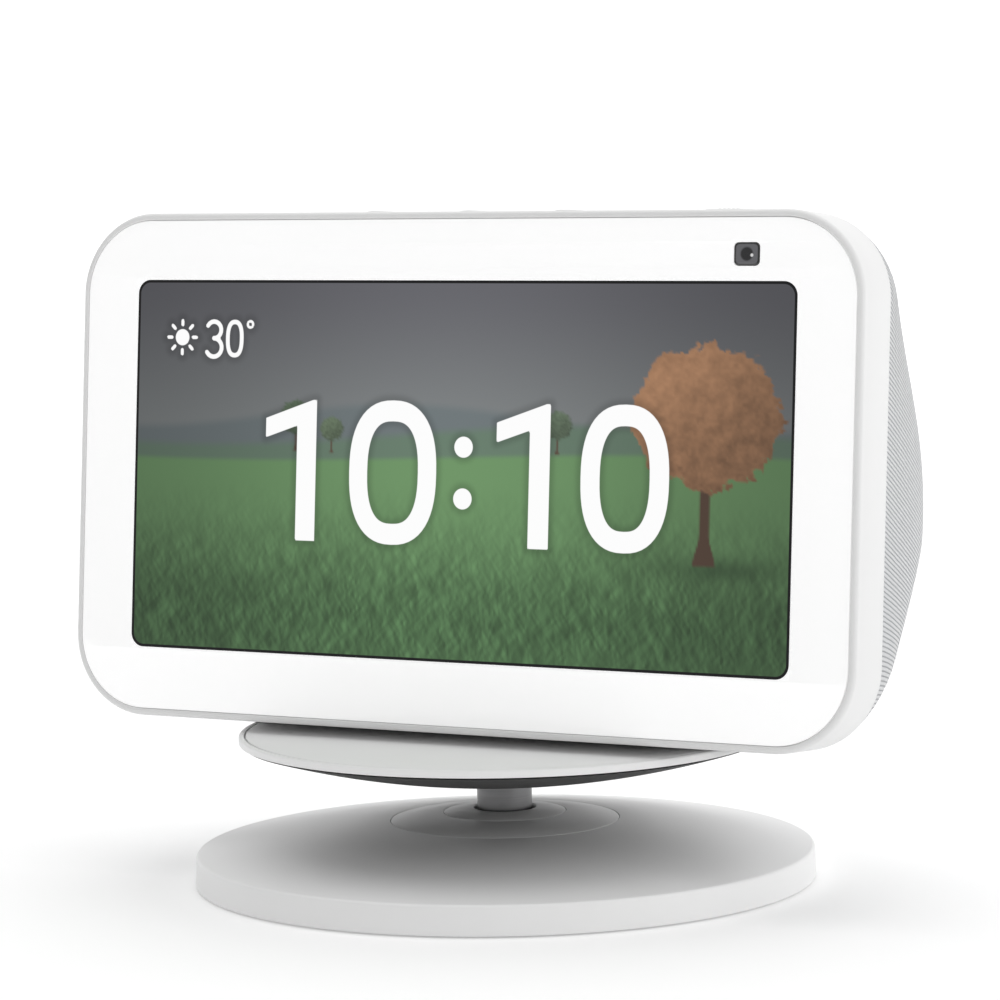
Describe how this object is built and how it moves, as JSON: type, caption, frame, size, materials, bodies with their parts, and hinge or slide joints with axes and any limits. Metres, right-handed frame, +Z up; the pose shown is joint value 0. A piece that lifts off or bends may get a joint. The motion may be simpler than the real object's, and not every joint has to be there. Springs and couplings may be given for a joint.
{
  "type": "smart display",
  "caption": "Smart display with a white bezel, wedge-shaped knitted rear and top-edge buttons, seated on a round magnetic stand that swivels and tilts.",
  "frame": {"origin": "centre of the stand's rubber ring, on the table", "axes": "+X to the right seen from the front, -Y the way the screen looks, +Z up"},
  "size_m": [0.148, 0.1062, 0.1143],
  "materials": {
    "white_paint": "satin powder coat",
    "white_silicone": "soft matt silicone",
    "white_moulding": "satin moulded",
    "cover_glass": "clear, printed white behind",
    "dark_moulding": "fine texture",
    "black_moulding": "fine texture",
    "panel_face": "polariser film",
    "knitted_fabric": "ribbed knit, light grey and white",
    "grey_rubber": "matt",
    "bright_steel": "zinc plated",
    "satin_neck": "satin",
    "cast_weight": "as cast",
    "sintered_bronze": "sintered",
    "die_cast_zinc": "die cast",
    "plated_magnet": "nickel plated",
    "aluminium_sheet": "rolled sheet",
    "circuit_board": "solder mask",
    "flat_cable": "polyimide film",
    "cone_paper": "pressed paper"
  },
  "bodies": {
    "base": {"base_foot_ring": "grey_rubber", "base_bottom_plate": "bright_steel", "base_weight": "cast_weight", "base_shell": "white_paint", "base_hub": "die_cast_zinc", "swivel_bush": "sintered_bronze", "base_screw_1": "bright_steel", "base_screw_2": "bright_steel", "base_screw_3": "bright_steel", "base_cover_ring": "white_paint", "neck_collar": "white_paint"},
    "neck": {"neck": "satin_neck", "swivel_washer": "black_moulding", "swivel_nut": "sintered_bronze"},
    "plate": {"tilt_pin": "bright_steel", "tilt_washer_left": "black_moulding", "tilt_washer_right": "black_moulding", "tilt_bracket_left": "bright_steel", "tilt_bracket_right": "bright_steel", "bracket_screw_left": "bright_steel", "bracket_screw_right": "bright_steel", "dish_lower_shell": "dark_moulding", "plate_carrier": "white_paint", "plate_magnet_left": "plated_magnet", "plate_magnet_right": "plated_magnet", "plate_pad": "white_silicone", "plate_key": "white_paint"},
    "display": {"bezel_frame": "white_moulding", "front_glass": "cover_glass", "camera_window": "dark_moulding", "camera_lens": "dark_moulding", "backlight_frame": "black_moulding", "mic_mute_switch": "black_moulding", "volume_down_switch": "black_moulding", "volume_up_switch": "black_moulding", "camera_module": "black_moulding", "rear_housing": "black_moulding", "power_jack": "black_moulding", "speaker_basket": "black_moulding", "lcd_panel": "panel_face", "fabric_cover": "knitted_fabric", "rubber_foot": "grey_rubber", "microphone_left": "grey_rubber", "microphone_right": "grey_rubber", "foot_steel_plate": "bright_steel", "shield_can": "bright_steel", "board_screw_1": "bright_steel", "board_screw_2": "bright_steel", "board_screw_3": "bright_steel", "speaker_magnet": "cast_weight", "mid_chassis": "aluminium_sheet", "heat_spreader": "aluminium_sheet", "main_board": "circuit_board", "button_board": "circuit_board", "display_flex": "flat_cable", "speaker_cone": "cone_paper"},
    "mic_mute_button": {"mic_mute_button": "white_moulding"},
    "volume_down_button": {"volume_down_button": "white_moulding"},
    "volume_up_button": {"volume_up_button": "white_moulding"},
    "camera_shutter": {"camera_shutter": "white_moulding"}
  },
  "joints": [
    {"name": "stand_swivel", "type": "hinge", "parent": "base", "child": "neck", "pos_m": [0, 0, 0], "axis": [0, 0, 1], "continuous": true},
    {"name": "stand_tilt", "type": "hinge", "parent": "neck", "child": "plate", "pos_m": [0, 0, 0.0197], "axis": [1, 0, 0], "range_deg": [-20, 12]},
    {"name": "display_lift", "type": "slide", "parent": "plate", "child": "display", "axis": [0, 0, 1], "range_m": [0, 0.0213]},
    {"name": "mic_mute_press", "type": "slide", "parent": "display", "child": "mic_mute_button", "axis": [0, -0.0906, -0.9959], "range_m": [0, 0.0004], "stiffness_N_per_m": 1500, "springref_m": -0.0004},
    {"name": "volume_down_press", "type": "slide", "parent": "display", "child": "volume_down_button", "axis": [0, -0.0906, -0.9959], "range_m": [0, 0.0004], "stiffness_N_per_m": 1500, "springref_m": -0.0004},
    {"name": "volume_up_press", "type": "slide", "parent": "display", "child": "volume_up_button", "axis": [0, -0.0906, -0.9959], "range_m": [0, 0.0004], "stiffness_N_per_m": 1500, "springref_m": -0.0004},
    {"name": "shutter_slide", "type": "slide", "parent": "display", "child": "camera_shutter", "axis": [1, 0, 0], "range_m": [0, 0.0055]}
  ]
}
